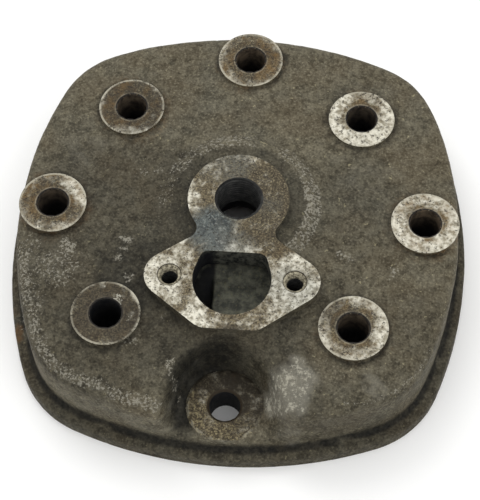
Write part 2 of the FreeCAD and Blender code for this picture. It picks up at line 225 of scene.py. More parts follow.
def edges_of(mesh):
    flat = np.empty(len(mesh.edges) * 2, np.int64)
    mesh.edges.foreach_get("vertices", flat)
    return flat.reshape(-1, 2)


def normals_of(mesh):
    flat = np.empty(len(mesh.vertices) * 3)
    mesh.vertex_normals.foreach_get("vector", flat)
    return flat.reshape(-1, 3)


def set_points(mesh, points):
    mesh.vertices.foreach_set("co", (points * MM).ravel())
    mesh.update()


def neighbour_mean(values, edges):
    """Each point's mean over the points that it shares an edge with."""
    count = np.bincount(edges.ravel(), minlength=len(values))
    total = np.empty_like(values)
    for axis in range(values.shape[1]):
        column = values[:, axis]
        total[:, axis] = np.bincount(edges[:, 0], column[edges[:, 1]], len(values))
        total[:, axis] += np.bincount(edges[:, 1], column[edges[:, 0]], len(values))
    return total / np.maximum(count, 1)[:, None]


def soften(points, edges, weight, rounds):
    """Rounds off what the weight marks, more with more rounds."""
    touched = np.zeros(len(points), bool)
    near = edges[(weight[edges] > 0).any(axis=1)]
    touched[near.ravel()] = True
    index = np.cumsum(touched) - 1
    part = points[touched]
    part_edges = index[near]
    part_weight = 0.5 * weight[touched][:, None]
    for _ in range(rounds):
        part = part + part_weight * (neighbour_mean(part, part_edges) - part)
    moved = points.copy()
    moved[touched] = part
    return moved


# ---------------------------------------- the casting's surface

# rounds of smoothing
RECESS_SOFTENING = 260
SKIN_SOFTENING = 12
MARK_SOFTENING = 4

# depths of the relief
WAVE_DEPTH = 0.1
GRAIN_DEPTH = 0.045
CAST_PIT_DEPTH = 0.22
CAST_INSET = 0.12
CORROSION_DEPTH = 0.13

FLAT_TOLERANCE = 0.12
BOLT_FACE_RADIUS = 4.0
PLUG_FACE_RADIUS = 9.5


def is_cut(points):
    """Marks what a cutter has made on the casting: raised faces, bores and the underside."""
    height = points[:, 2]
    stud = nearest_stud(points)
    front_stud = distance_to(points, STUD_FRONT)
    cut = (stud < BOSS_RADIUS + 0.2) & (height > BOSS_HEIGHT - BOSS_WALL)
    cut |= np.minimum(stud, front_stud) < STUD_HOLE_RADIUS + 0.8
    cut |= (front_stud < FRONT_BOSS_RADIUS - 0.2) & (height < FRONT_BOSS_HEIGHT + 0.2)
    cut |= height > FACE_HEIGHT - 0.35
    cut |= height < 0.4
    cut |= distance_to(points, PLUG) < PLUG_FACE_RADIUS
    for bolt in OUTLET_BOLTS:
        cut |= distance_to(points, bolt) < BOLT_FACE_RADIUS
    return cut


def recess_edges(points):
    """1 along the wide soft edges of the recess over the front stud, less on the crisper left side."""
    height = points[:, 2]
    away = distance_to(points, STUD_FRONT)
    ring = step(away, 11.0, 12.5) * (1 - step(away, 24.0, 30.0))
    left = 0.2 + 0.8 * step(points[:, 0], -4.0, 6.0)
    return left * ring * step(height, 6.6, 8.6) * step(-points[:, 1], 34.0, 42.0)


def countersink(points):
    """Opens the mouths of the outlet bolt holes and the front stud hole into shallow cones."""
    height = points[:, 2]
    mouths = [(bolt, FACE_HEIGHT, BOLT_MOUTH_RADIUS, BOLT_SINK) for bolt in OUTLET_BOLTS]
    mouths.append((STUD_FRONT, FRONT_BOSS_HEIGHT, FRONT_MOUTH_RADIUS, FRONT_SINK))
    for place, top, radius, sink in mouths:
        away = distance_to(points, place)
        mouth = (away < radius) & (np.abs(height - top) < sink)
        points[mouth, 2] = np.maximum(top - sink, height[mouth] + away[mouth] - radius)
    return points


def flatten_faces(points):
    """Puts the points of the cut faces exactly on their planes."""
    height = points[:, 2]
    stud = nearest_stud(points)
    front_stud = distance_to(points, STUD_FRONT)
    for level, where in ((BOSS_HEIGHT, stud < BOSS_RADIUS - 0.3),
                         (FRONT_BOSS_HEIGHT, front_stud < FRONT_BOSS_RADIUS - 0.3),
                         (FACE_HEIGHT, height > FACE_HEIGHT - FLAT_TOLERANCE),
                         (0.0, height < FLAT_TOLERANCE)):
        close = where & (np.abs(height - level) < FLAT_TOLERANCE)
        points[close, 2] = level
    return points


def cast_relief(points, rough):
    """How far the sand-cast surface stands off its drawn shape: waves, grain and pits, set a little in."""
    waves = WAVE_DEPTH * layered(points, 11.0, 3, 2)
    grain = GRAIN_DEPTH * layered(points, 2.6, 21, 3)
    pits = CAST_PIT_DEPTH * step(noise(points, 1.9, 57), 0.62, 0.86)
    return rough * (waves + grain - pits - CAST_INSET)


def corroded_relief(points, amount):
    """Shallow corrosion pits in a cut face."""
    broad = noise(points, 2.2, 71) + 0.6 * noise(points, 1.1, 72)
    pits = step(broad, 0.55, 1.05) + 0.7 * step(noise(points, 1.3, 73), 0.55, 0.8)
    return -amount * pits


def where_cut_flat(points, normals):
    """1 on the raised cut faces, away from the edges of their holes."""
    height = points[:, 2]
    stud = nearest_stud(points)
    on_boss = (np.abs(height - BOSS_HEIGHT) < 0.1) * (stud < BOSS_RADIUS) * step(stud, 5.2, 6.0)
    on_pad = (np.abs(height - FACE_HEIGHT) < 0.1) * step(distance_to(points, PLUG), 8.6, 9.4)
    for bolt in OUTLET_BOLTS:
        on_pad = on_pad * step(distance_to(points, bolt), BOLT_FACE_RADIUS, BOLT_FACE_RADIUS + 0.8)
    return step(normals[:, 2], 0.8, 0.95) * np.maximum(on_boss, on_pad)


def make_casting():
    """The casting as one even mesh with its softened edges, cast skin and corroded faces."""
    piece = even_copy(casting_node, "casting")
    mesh = piece.data
    edges = edges_of(mesh)
    points = points_of(mesh)
    skin = 1.0 - is_cut(points)
    points = soften(points, edges, skin * recess_edges(points), RECESS_SOFTENING)
    points = soften(points, edges, skin, SKIN_SOFTENING)
    points = flatten_faces(points)
    set_points(mesh, points)
    normals = normals_of(mesh)
    skin = soften(skin[:, None], edges, np.ones(len(points)), MARK_SOFTENING)[:, 0]
    pits = corroded_relief(points, CORROSION_DEPTH * where_cut_flat(points, normals))
    points = countersink(points + normals * (cast_relief(points, skin) + pits)[:, None])
    low, high = [np.array(corner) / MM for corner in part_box("head_casting")]
    set_points(mesh, np.clip(points, low, high))
    thin = piece.modifiers.new("thin", "DECIMATE")
    thin.ratio = FINAL_TRIANGLES / (2 * len(mesh.polygons))
    piece.modifiers.new("triangles", "TRIANGULATE")
    apply_modifiers(piece)
    set_points(piece.data, np.clip(points_of(piece.data), low, high))
    return piece


# ---------------------------------------- where the casting is stained or worn, and where shade and light are painted on it

RING = 15.0


def beside(place, right, back):
    """A place so many millimetres to the right of another and behind it."""
    return (place[0] + right, place[1] + back)


# Every table of stains gives places, radii and strengths.

# the brown film on the cut faces
GRIME = (
    (STUD_FRONT_LEFT, RING, 1.25), (STUD_BACK_LEFT, RING, 1.02), (beside(STUD_BACK_LEFT, -4, 1), 5, 1.15),
    (STUD_LEFT, RING, 0.92), (STUD_BACK, RING, 0.94), (beside(STUD_BACK, 5, 2), 6, 1),
    (STUD_BACK_RIGHT, RING, 0.58), (beside(STUD_BACK_RIGHT, 0, 8), 8, 0.78), (STUD_RIGHT, RING, 0.68),
    (STUD_FRONT_RIGHT, RING, 0.78), (beside(STUD_FRONT_RIGHT, -5, 5), 8, 0.88), (STUD_FRONT, 22, 0.72),
    (PLUG, 22, 0.66), ((10, 7), 15, 0.82), ((9, -6), 11, 0.82), ((1, -36), 13, 0.6),
    ((-18, -23), 15, 0.53), ((-10, -13.5), 5, 0.6), ((-14, -30), 6, 0.6), ((18, -24), 13, 0.34),
    ((13, -12.5), 7, 0.76), ((13, -34), 8, 0.48), ((24, -24), 4, 0.44),
)

# rust: on the rings and the flange, two spots on the rim and faint patches of the skin
RUST = (
    (STUD_BACK, RING, 0.55), (beside(STUD_BACK, 6, 0), 6, 0.8), (STUD_LEFT, RING, 0.6),
    (STUD_BACK_LEFT, RING, 0.5), (STUD_BACK_RIGHT, RING, 0.3), (beside(STUD_BACK_RIGHT, 0, 8), 7, 0.5),
    (STUD_RIGHT, RING, 0.58), (STUD_FRONT_RIGHT, RING, 0.4), (STUD_FRONT_LEFT, RING, 0.2),
    (STUD_FRONT, 16, 0.15), ((8, -9.5), 8, 0.2), ((12, -14), 5, 0.3), ((-18, -23), 15, 0.15),
    ((-64, -34.5), 4, 0.9), ((-66, -27), 3, 0.5), ((-32, 14), 16, 0.14), ((30, -6), 14, 0.1),
)

# the blue-grey film, thickest on the neck between the plug seat and the flange
BLUE = (
    ((-7, -8), 9, 1), ((-4, -12), 6, 0.8), ((1, -12.5), 6, 0.5), ((17, -26), 9, 0.35),
    ((-2, 15), 7, 0.45), ((8, 1), 5, 0.25), ((-8, 13), 6, 0.3),
)

# where the film is worn or chipped away; the first three, on the sides of the back-right, left and
# back-left rings that face the light, are painted highlights as well
CLEAN_AND_LIT = (
    (beside(STUD_BACK_RIGHT, 2, -8), 9, 1), (beside(STUD_LEFT, 7, 5), 6, 0.7),
    (beside(STUD_BACK_LEFT, 2, -9), 4, 0.6), (beside(STUD_RIGHT, -6, -5), 7, 0.6),
    (beside(STUD_RIGHT, 6, -5), 7, 0.5), (beside(STUD_FRONT_RIGHT, 7, -2), 5, 0.5), ((-21, -24), 9, 0.6),
    ((-6, -38), 8, 0.3), ((18, -29), 7, 0.6), ((-14, 2), 4, 0.6), (beside(STUD_FRONT_LEFT, 4, 5), 3, 0.9),
    (beside(STUD_FRONT_LEFT, 6.5, 0), 2.5, 0.7), (beside(STUD_FRONT_LEFT, -1.5, 8), 2.5, 0.8),
    (beside(STUD_FRONT_LEFT, 1, -8.5), 2.5, 0.8), (beside(STUD_FRONT_LEFT, 9, -3), 2, 0.7),
)

# black on the cut faces
SOOT = (
    (beside(STUD_FRONT, 8, 2), 9, 0.78), (beside(STUD_FRONT, 2, 9), 9, 0.82),
    (beside(STUD_FRONT, -7, 8), 7, 0.75), (beside(STUD_FRONT, 8, -4), 5, 0.55),
    (beside(STUD_FRONT_LEFT, 7, 1), 6, 0.4), (STUD_FRONT_LEFT, RING, 0.24),
    (beside(STUD_BACK, 7, 3), 4, 0.25), (STUD_BACK_LEFT, RING, 0.4), (STUD_LEFT, RING, 0.12),
    (beside(STUD_FRONT_RIGHT, -6, 5), 5, 0.25),
)

# large smooth rubbed patches of the cast skin
SCUFFS = (
    ((18.5, -53.5), 10, 0.95), ((19, -61), 6, 0.5), ((41.5, -52), 5, 0.55), ((-50, -20), 11, 0.25),
    ((-48, 20), 9, 0.35), ((-58, -30), 8, 0.2), ((40, 20), 16, 0.25),
)

# small patches of the cast skin with bright dots
STIPPLE = (
    ((-31, -10.5), 3, 0.95), ((-32.5, -14.5), 3, 0.8), ((-34, -18), 2.5, 0.8),
    ((-47.5, -13.5), 2.5, 0.95), ((-29.5, -22), 2.5, 0.8), ((-25, 14), 3, 0.8), ((-29, 12), 2.5, 0.7),
    ((-15.5, -49), 3, 0.9), ((-14.5, -53), 2.5, 0.8), ((32, -12), 3, 0.8), ((46, -16), 3, 0.8),
    ((-28, -42), 3, 0.75), ((-19, -35), 2.5, 0.7), ((-51, -20), 10, 0.72), ((-59, -30), 8, 0.62),
    ((-60.5, -15), 7, 0.62),
)

# dirty, darker areas of the cast skin; in front of the flange and at the back of the recess over the front
# stud they are painted shadow as well
DARK = (
    ((-36, -4), 38, 0.42), ((-42, -36), 36, 0.42), ((-28, -22), 18, 0.72), ((-14, -38), 15, 0.6),
    ((13, -40), 13, 0.48), ((0, -43), 15, 0.4), ((28, -30), 16, 0.24), ((34, 2), 24, 0.2),
    ((22, -63), 14, 0.3), ((42, -60), 16, 0.24), ((-18, 12), 14, 0.46), ((50, -36), 18, 0.18),
)

# the parts of the dotted band that runs round the plug seat
BAND = (
    ((17, 18), 12, 0.72), ((24, 3), 14, 0.88), ((19, -9), 11, 0.8), ((-4, 26), 13, 0.78),
    ((-15, 20), 12, 0.74), ((-22, 8), 11, 0.62), ((-22, -3), 8, 0.45),
)

# the holes that are brown inside their mouths
BROWN_HOLES = (
    (STUD_BACK, 9, 0.9), (STUD_BACK_LEFT, 9, 0.7), (STUD_LEFT, 9, 0.6), (STUD_BACK_RIGHT, 9, 0.5),
    (STUD_RIGHT, 9, 1), (STUD_FRONT_RIGHT, 9, 0.8), (PLUG, 14, 0.15),
)

# the worn stretches of the body's edge, as bearings in degrees from the bore centre; the front left one
# also bounds the wall painted paler as lit
FRONT_LEFT_EDGE = (-165.0, -105.0)
FRONT_RIGHT_EDGE = (-58.0, -36.0)

STAIN_WARP = 1.6
STAIN_WARP_SIZE = 5.0
SHARP_BEND = (0.03, 0.25)
BEND_REACH = 6
BEND_SOFTENING = 2


def stain(points, places):
    """The strongest of several soft patches at each point."""
    total = np.zeros(len(points))
    for place, radius, strength in places:
        total = np.maximum(total, strength * patch(points, place, radius))
    return total


def bearing_from(points, place):
    """The bearing of points from a place, in degrees: 0 is to the right and 90 is behind."""
    return np.degrees(np.arctan2(points[:, 1] - place[1], points[:, 0] - place[0]))


def angular(points, low, high, soft=12.0):
    """1 between two bearings from the bore centre, fading to 0 outside them."""
    bearing = bearing_from(points, (0.0, 0.0))
    return step(bearing, low - soft, low) * (1 - step(bearing, high, high + soft))


def worn_edge(points):
    """How much the rounded top edge of the body is chipped bright."""
    inset = -outside_square(points, *BODY_OUTLINE)
    wide = step(inset, 0.2, 1.6) * (1 - step(inset, 3.5, 7.5)) * angular(points, *FRONT_LEFT_EDGE)
    narrow = step(inset, 0.6, 1.4) * (1 - step(inset, 1.8, 3.6)) * angular(points, *FRONT_RIGHT_EDGE)
    return step(points[:, 2], 20.0, 22.0) * np.maximum(0.8 * wide, 0.7 * narrow)


def wall_light(points):
    """How much the front left wall of the body is painted paler, as painted light falling on it."""
    height = points[:, 2]
    halfway_up = step(height, 8.0, 10.0) * (1 - step(height, 17.0, 21.0))
    return 0.42 * angular(points, *FRONT_LEFT_EDGE) * halfway_up


def lit_wall(points):
    """1 on the front left wall of the body, which the darker smears skip so that it looks lit."""
    return angular(points, *FRONT_LEFT_EDGE, 6.0) * (1 - step(points[:, 2], 17.0, 22.0))


def ledge_shade_and_dirt(points):
    """How much darker the casting is painted low down: painted shade with dirt in the corner above the
    gasket rim, and a darker tone on the rim itself.
    """
    from_wall = outside_square(points, *BODY_OUTLINE)
    low_down = 1 - step(points[:, 2], 6.0, 9.0)
    # painted shade, with dirt, in the concave corner at the foot of the wall
    in_corner = (1 - step(from_wall, 0.8, 2.6)) * step(from_wall, -2.0, -0.3)
    on_rim = step(from_wall, 1.0, 2.4)
    return np.maximum(0.95 * in_corner, 0.48 * on_rim) * low_down


def recess_shadow(points):
    """Painted shadow round the front stud's boss, at the foot of the recess walls: most behind it and to
    its left.
    """
    away = distance_to(points, STUD_FRONT)
    ring = step(away, 10.4, 11.2) * (1 - step(away, 13.5, 19.0))
    bearing = bearing_from(points, STUD_FRONT) % 360
    return ring * (0.35 + 0.6 * step(bearing, 40.0, 100.0)) * (1 - step(bearing, 205.0, 235.0))


def port_shadow(points):
    """1 in the left part of the outlet port, below the flange, where a painted shadow stands for a shaded
    deeper opening.
    """
    inside = distance_to(points, PORT_CENTRE) < PORT_RADIUS + 1.0
    below_flange = 1 - step(points[:, 2], FACE_HEIGHT - 2.0, FACE_HEIGHT)
    return inside * (1 - step(points[:, 0], -6.4, -5.2)) * below_flange


def store(mesh, name, values):
    layer = mesh.attributes.new(name, "FLOAT", "POINT")
    layer.data.foreach_set("value", values.astype(np.float32))


def store_bends(mesh):
    """Stores where the surface bends outwards as a ridge, and inwards as a valley, which the skin darkens
    with dirt and painted shade.
    """
    points = points_of(mesh)
    edges = edges_of(mesh)
    everywhere = np.ones(len(points))
    away = points - soften(points, edges, everywhere, BEND_REACH)
    bend = np.einsum("ij,ij->i", away, normals_of(mesh))
    bend = soften(bend[:, None], edges, everywhere, BEND_SOFTENING)[:, 0]
    store(mesh, "ridge", step(bend, *SHARP_BEND))
    store(mesh, "valley_dirt_and_shade", step(-bend, *SHARP_BEND))


def mark_surface(mesh):
    """Stores where a mesh is stained, worn or pale, and where shade and light are painted on it, for its
    materials.
    """
    store_bends(mesh)
    points = points_of(mesh)
    shifts = [layered(points, STAIN_WARP_SIZE, 91 + axis) for axis in range(3)]
    warped = points + STAIN_WARP * np.stack(shifts, axis=1)
    for name, places in (("grime", GRIME), ("rust", RUST), ("blue", BLUE),
                         ("clean_and_lit", CLEAN_AND_LIT), ("soot", SOOT), ("banded", BAND)):
        store(mesh, name, stain(warped, places))
    chipped = worn_edge(points)
    # the front left wall's painted light is stored with the rubbed patches
    store(mesh, "scuffed_and_lit", np.maximum.reduce([stain(warped, SCUFFS), wall_light(points), 0.3 * chipped]))
    store(mesh, "stippled", np.maximum(stain(warped, STIPPLE), chipped))
    store(mesh, "brown_hole", stain(points, BROWN_HOLES))
    store(mesh, "port_shadow", port_shadow(points))
    # dirty smears and painted shadow, kept off the front left wall so that it looks lit
    smears_and_shade = stain(warped, DARK) * (1 - lit_wall(points))
    store(mesh, "dark", np.maximum.reduce([smears_and_shade, recess_shadow(points), ledge_shade_and_dirt(points)]))


# ---------------------------------------- materials

def srgb(red, green, blue):
    """A colour given as it looks on a screen, from 0 to 255, as the linear colour that a shader takes."""
    parts = [value / 255 for value in (red, green, blue)]
    return (*[part / 12.92 if part <= 0.04045 else ((part + 0.055) / 1.055)**2.4 for part in parts], 1.0)


SHIFT_PER_NOISE = Vector((0.37, 0.71, 0.53))


class Recipe:
    """Builds one node material a node at a time, painting colours over each other."""

    def __init__(self, name):
        self.material = bpy.data.materials.new(name)
        self.material.use_nodes = True
        self.tree = self.material.node_tree
        self.shader = self.tree.nodes["Principled BSDF"]
        self.place = self.tree.nodes.new("ShaderNodeTexCoord").outputs["Object"]
        # in millimetres, without the height
        self.flat = self.put("ShaderNodeVectorMath", {0: self.place, 1: (1 / MM, 1 / MM, 0.0)},
                             operation="MULTIPLY").outputs[0]
        self.noises = 0
        self.colour = None

    def put(self, kind, inputs=(), **settings):
        node = self.tree.nodes.new(kind)
        for name, value in settings.items():
            setattr(node, name, value)
        for socket, value in dict(inputs).items():
            self.feed(node.inputs[socket], value)
        return node

    def feed(self, socket, value):
        if isinstance(value, bpy.types.NodeSocket):
            self.tree.links.new(value, socket)
        else:
            socket.default_value = value

    def noise(self, size, detail=3.0, rough=0.55):
        """Noise around 0.5 whose lumps are about one size across, in millimetres."""
        self.noises += 1
        shift = SHIFT_PER_NOISE * self.noises
        moved = self.put("ShaderNodeVectorMath", {0: self.place, 1: shift}, operation="ADD")
        node = self.put("ShaderNodeTexNoise", {"Vector": moved.outputs[0], "Scale": 1 / (size * MM),
                                               "Detail": detail, "Roughness": rough})
        return node.outputs["Fac"]

    def mark(self, name):
        """What mark_surface stored under a name."""
        return self.put("ShaderNodeAttribute", attribute_name=name).outputs["Fac"]

    def ramp(self, value, low, high, start=0.0, end=1.0):
        """Carries low to start and high to end, smoothly and no further."""
        node = self.put("ShaderNodeMapRange", {"Value": value, "From Min": low, "From Max": high,
                                               "To Min": start, "To Max": end},
                        interpolation_type="SMOOTHSTEP")
        return node.outputs["Result"]

    def work_out(self, operation, first, second):
        return self.put("ShaderNodeMath", {0: first, 1: second}, operation=operation).outputs[0]

    def times(self, first, second):
        return self.work_out("MULTIPLY", first, second)

    def plus(self, first, second):
        return self.work_out("ADD", first, second)

    def minus(self, first, second):
        return self.work_out("SUBTRACT", first, second)

    def larger(self, first, second):
        return self.work_out("MAXIMUM", first, second)

    def distance_to(self, *places):
        """How far the surface is from the nearest of several upright axes, in millimetres."""
        nearest = None
        for place in places:
            apart = self.put("ShaderNodeVectorMath", {0: self.flat, 1: (place[0], place[1], 0.0)},
                             operation="DISTANCE").outputs["Value"]
            nearest = apart if nearest is None else self.work_out("MINIMUM", nearest, apart)
        return nearest

    def uneven(self, amount, pattern, contrast):
        """An amount from 0 to 1 that a noise pattern shifts up and down."""
        shift = self.times(self.minus(pattern, 0.5), contrast)
        return self.ramp(self.plus(amount, shift), 0.0, 1.0)

    def speckle(self, amount, pattern):
        """Small spots from a noise pattern: none where the amount is 0, nearly full cover where it is 1."""
        shift = self.times(self.minus(amount, 0.5), 0.5)
        return self.ramp(self.plus(pattern, shift), 0.53, 0.63)

    def line(self, value, low, high, soft):
        """1 where a value lies between low and high, fading to 0 outside them."""
        rise = self.ramp(value, low - soft, low)
        return self.times(rise, self.ramp(value, high, high + soft, 1.0, 0.0))

    def blend(self, amount, first, second):
        """The first colour at amount 0 and the second at 1. Each is a socket or a red, green, blue."""
        node = self.put("ShaderNodeMix", data_type="RGBA", clamp_factor=True)
        self.feed(node.inputs["Factor"], amount)
        for socket, colour in ((6, first), (7, second)):
            self.feed(node.inputs[socket], srgb(*colour) if isinstance(colour, tuple) else colour)
        return node.outputs[2]

    def prime(self, amount, first, second):
        """Starts the colour as a blend of two."""
        self.colour = self.blend(amount, first, second)

    def paint(self, amount, colour):
        """Lays a colour over the one so far, as thickly as the amount says."""
        self.colour = self.blend(amount, self.colour, colour)

    def bump(self, height, depth, under=None):
        """A bump map whose full height is a depth in millimetres."""
        node = self.put("ShaderNodeBump", {"Height": height, "Distance": depth * MM})
        if under is not None:
            self.feed(node.inputs["Normal"], under)
        return node.outputs["Normal"]

    def finish(self, roughness, metallic=0.0, normal=None, specular=0.5):
        self.feed(self.shader.inputs["Base Color"], self.colour)
        self.feed(self.shader.inputs["Roughness"], roughness)
        self.feed(self.shader.inputs["Metallic"], metallic)
        self.feed(self.shader.inputs["Specular IOR Level"], specular)
        if normal is not None:
            self.feed(self.shader.inputs["Normal"], normal)
        return self.material


def paint_bare_casting(recipe, broad, cloud, mottle, fine):
    """Weathered bare metal: olive-brown grey, with paler and darker clouds, fine grain and nicks."""
    recipe.prime(recipe.ramp(mottle, 0.36, 0.64), (67, 62, 49), (102, 96, 79))
    recipe.paint(recipe.ramp(cloud, 0.42, 0.66, 0, 0.5), (106, 101, 86))
    recipe.paint(recipe.ramp(cloud, 0.48, 0.3, 0, 0.45), (50, 46, 36))
    recipe.paint(recipe.ramp(broad, 0.42, 0.66, 0, 0.35), (84, 73, 54))
    recipe.paint(recipe.ramp(recipe.noise(20, 2), 0.45, 0.7, 0, 0.3), (76, 76, 68))
    recipe.paint(recipe.ramp(fine, 0.52, 0.72, 0, 0.5), (138, 132, 112))
    recipe.paint(recipe.ramp(fine, 0.48, 0.3, 0, 0.55), (32, 29, 23))
    nicks = recipe.ramp(recipe.noise(1.6, 4, 0.6), 0.66, 0.7, 0, 0.6)
    recipe.paint(nicks, (158, 150, 120))


def paint_cast_dirt_and_shade(recipe, plug, mottle):
    """Rust, a painted shadow close round the plug seat, and what is marked as dark: dirt, with painted
    shade in the recess, along the ledge and in front of the flange.
    """
    rusty = recipe.mark("rust")
    rust = recipe.uneven(recipe.times(rusty, 0.75), recipe.noise(1.8, 5, 0.7), 1.6)
    recipe.paint(recipe.times(rust, rusty), (116, 84, 46))
    # painted shadow in a narrow band close round the plug seat
    seat_shadow = recipe.line(plug, 14, 19, 2)
    recipe.paint(recipe.times(seat_shadow, 0.32), (36, 36, 32))
    # the dark mark: dirt, with painted shade in the recess, along the ledge and in front of the flange
    shade = recipe.times(recipe.mark("dark"), recipe.ramp(mottle, 0.25, 0.7, 1.05, 0.85))
    recipe.paint(shade, (12, 12, 10))


def paint_cast_wear(recipe, plug, cloud, flakes):
    """Bright dots, rubbed patches and scratches, the front left wall painted paler as lit, pale ridges, and
    valleys darkened with dirt and painted shade.
    """
    bright_band = recipe.times(recipe.line(plug, 20.5, 23.5, 3), recipe.mark("banded"))
    dotted = recipe.larger(bright_band, recipe.mark("stippled"))
    dots = recipe.speckle(recipe.times(dotted, 0.74), recipe.noise(0.75, 4, 0.7))
    recipe.paint(recipe.times(dots, 0.62), (154, 150, 137))
    # rubbed haze and scratches, also over the front left wall as painted light
    scuffed_and_lit = recipe.mark("scuffed_and_lit")
    haze = recipe.times(recipe.uneven(scuffed_and_lit, cloud, 1.6), 0.36)
    recipe.paint(recipe.times(haze, scuffed_and_lit), (150, 147, 136))
    scratches = recipe.speckle(recipe.times(scuffed_and_lit, 0.6), flakes)
    recipe.paint(recipe.times(scratches, 0.66), (176, 172, 156))
    ridges = recipe.speckle(recipe.times(recipe.mark("ridge"), 0.5), flakes)
    recipe.paint(recipe.times(ridges, 0.65), (160, 156, 140))
    # dirt and painted shade in the valleys
    recipe.paint(recipe.times(recipe.mark("valley_dirt_and_shade"), 0.8), (24, 23, 19))


def cast_skin():
    """The stained, olive-brown grey of the old casting, with flecks, scuffs and dirt, painted shade in its
    corners and creases, and painted light on its front left wall.
    """
    recipe = Recipe("cast_skin")
    broad = recipe.noise(14, 3)
    cloud = recipe.noise(5, 4, 0.6)
    mottle = recipe.noise(2, 5, 0.65)
    fine = recipe.noise(0.7, 3, 0.65)
    flakes = recipe.noise(1.7, 6, 0.78)
    plug = recipe.distance_to(PLUG)
    paint_bare_casting(recipe, broad, cloud, mottle, fine)
    paint_cast_dirt_and_shade(recipe, plug, mottle)
    paint_cast_wear(recipe, plug, cloud, flakes)
    normal = recipe.bump(mottle, 0.14, under=recipe.bump(fine, 0.1))
    return recipe.finish(recipe.ramp(fine, 0.3, 0.7, 0.84, 0.62), 0.2, normal, 0.2)


def grime_on_cut_face(recipe, studs, cluster):
    """How grimy a cut face is, in clusters: less where it is clean and where it is painted as lit, and
    least round each ring's rim.
    """
    grime = recipe.minus(recipe.mark("grime"), recipe.times(recipe.mark("clean_and_lit"), 0.5))
    near_rim = recipe.line(studs, 7.6, 10.5, 2.2)
    grime = recipe.minus(grime, recipe.times(near_rim, recipe.ramp(cluster, 0.35, 0.62, 0.12, 0.44)))
    return recipe.plus(grime, recipe.times(recipe.minus(cluster, 0.5), 1.5))


def film_colour(recipe, tint, grain, unspoilt):
    """The brown film, darker where there is more of it, with dark and golden grain."""
    film = recipe.blend(recipe.ramp(recipe.mark("grime"), 0.6, 0.95), (96, 84, 60), (60, 53, 37))
    film = recipe.blend(recipe.ramp(tint, 0.5, 0.34, 0, 0.5), film, (44, 39, 31))
    film = recipe.blend(recipe.ramp(grain, 0.46, 0.34, 0, 0.65), film, (38, 33, 25))
    gold = recipe.times(recipe.ramp(grain, 0.52, 0.64, 0, 0.62), unspoilt)
    return recipe.blend(gold, film, (156, 145, 112))


def paint_face_dirt(recipe, grime, film, cluster, flecks, grain):
    """Specks of dirt, soot, and pale chips where the film is clean and where a ring is painted as lit."""
    brown = recipe.blend(recipe.ramp(grain, 0.36, 0.64), (40, 34, 25), (92, 82, 65))
    dirt = recipe.speckle(grime, flecks)
    recipe.paint(recipe.times(dirt, recipe.ramp(film, 0.5, 0.95, 0.9, 0.45)), brown)
    soot = recipe.times(recipe.mark("soot"), recipe.ramp(cluster, 0.36, 0.6, 0.7, 1.15))
    recipe.paint(soot, (28, 25, 20))
    # pale chips where the film is clean and where rings are painted as lit
    chips = recipe.speckle(recipe.times(recipe.mark("clean_and_lit"), 0.65), flecks)
    recipe.paint(recipe.times(chips, 0.7), (190, 187, 172))


def paint_blue_and_rust(recipe, cluster, tint, flecks):
    """The blue-grey film with its pale flecks, and the rust."""
    blue = recipe.blend(recipe.ramp(cluster, 0.4, 0.6), (30, 43, 49), (84, 91, 90))
    blue = recipe.blend(recipe.ramp(tint, 0.48, 0.38, 0, 0.6), blue, (26, 35, 41))
    blue = recipe.blend(recipe.ramp(flecks, 0.5, 0.66, 0, 0.8), blue, (138, 142, 136))
    recipe.paint(recipe.times(recipe.mark("blue"), 0.9), blue)
    rusty = recipe.mark("rust")
    rust = recipe.uneven(recipe.times(rusty, 0.6), cluster, 2)
    recipe.paint(recipe.times(rust, rusty), (118, 92, 52))


def paint_rings(recipe, studs, cluster, unspoilt):
    """The rim and lip of each ring painted pale, as rubbed metal and as a painted highlight, pits, and dirt
    in and round the holes.
    """
    # the rim and lip are painted pale both as rubbed metal and as a painted highlight
    rim = recipe.line(studs, 9.6, 10, 0.35)
    lip = recipe.times(recipe.line(studs, 4.95, 5.25, 0.2), 0.35)
    rubbed_and_highlit = recipe.times(recipe.larger(rim, lip), recipe.ramp(cluster, 0.36, 0.6, 0.1, 0.8))
    recipe.paint(recipe.times(rubbed_and_highlit, unspoilt), (168, 163, 146))
    pits = recipe.ramp(recipe.noise(0.9, 4, 0.68), 0.56, 0.62, 0, 0.85)
    recipe.paint(pits, (42, 36, 28))
    bolts = recipe.distance_to(*OUTLET_BOLTS)
    recipe.paint(recipe.line(bolts, 3.3, 3.45, 0.15), (50, 44, 35))
    recipe.paint(recipe.line(studs, 0, 4.9, 0.06), (30, 27, 23))


def paint_front_boss(recipe, cluster, tint):
    """The sunken boss of the front stud: brown specks, yellowish spots and a painted highlight along its
    rim.
    """
    front = recipe.distance_to(STUD_FRONT)
    recipe.paint(recipe.line(front, 0, 5, 0.4), (48, 40, 28))
    on_boss = recipe.line(front, 5.6, 11, 0.5)
    specks = recipe.noise(0.8, 5, 0.75)
    recipe.paint(recipe.times(on_boss, recipe.ramp(specks, 0.5, 0.4, 0, 0.7)), (40, 34, 22))
    free_of_soot = recipe.times(on_boss, recipe.minus(0.85, recipe.mark("soot")))
    lichen = recipe.times(recipe.ramp(specks, 0.5, 0.64), recipe.ramp(cluster, 0.38, 0.58, 0.15, 0.85))
    recipe.paint(recipe.times(free_of_soot, lichen), (158, 147, 110))
    # a painted highlight along the boss's rim
    rim = recipe.times(free_of_soot, recipe.line(front, 10.4, 11.2, 0.3))
    recipe.paint(recipe.times(rim, recipe.ramp(tint, 0.4, 0.6, 0, 0.6)), (150, 146, 130))


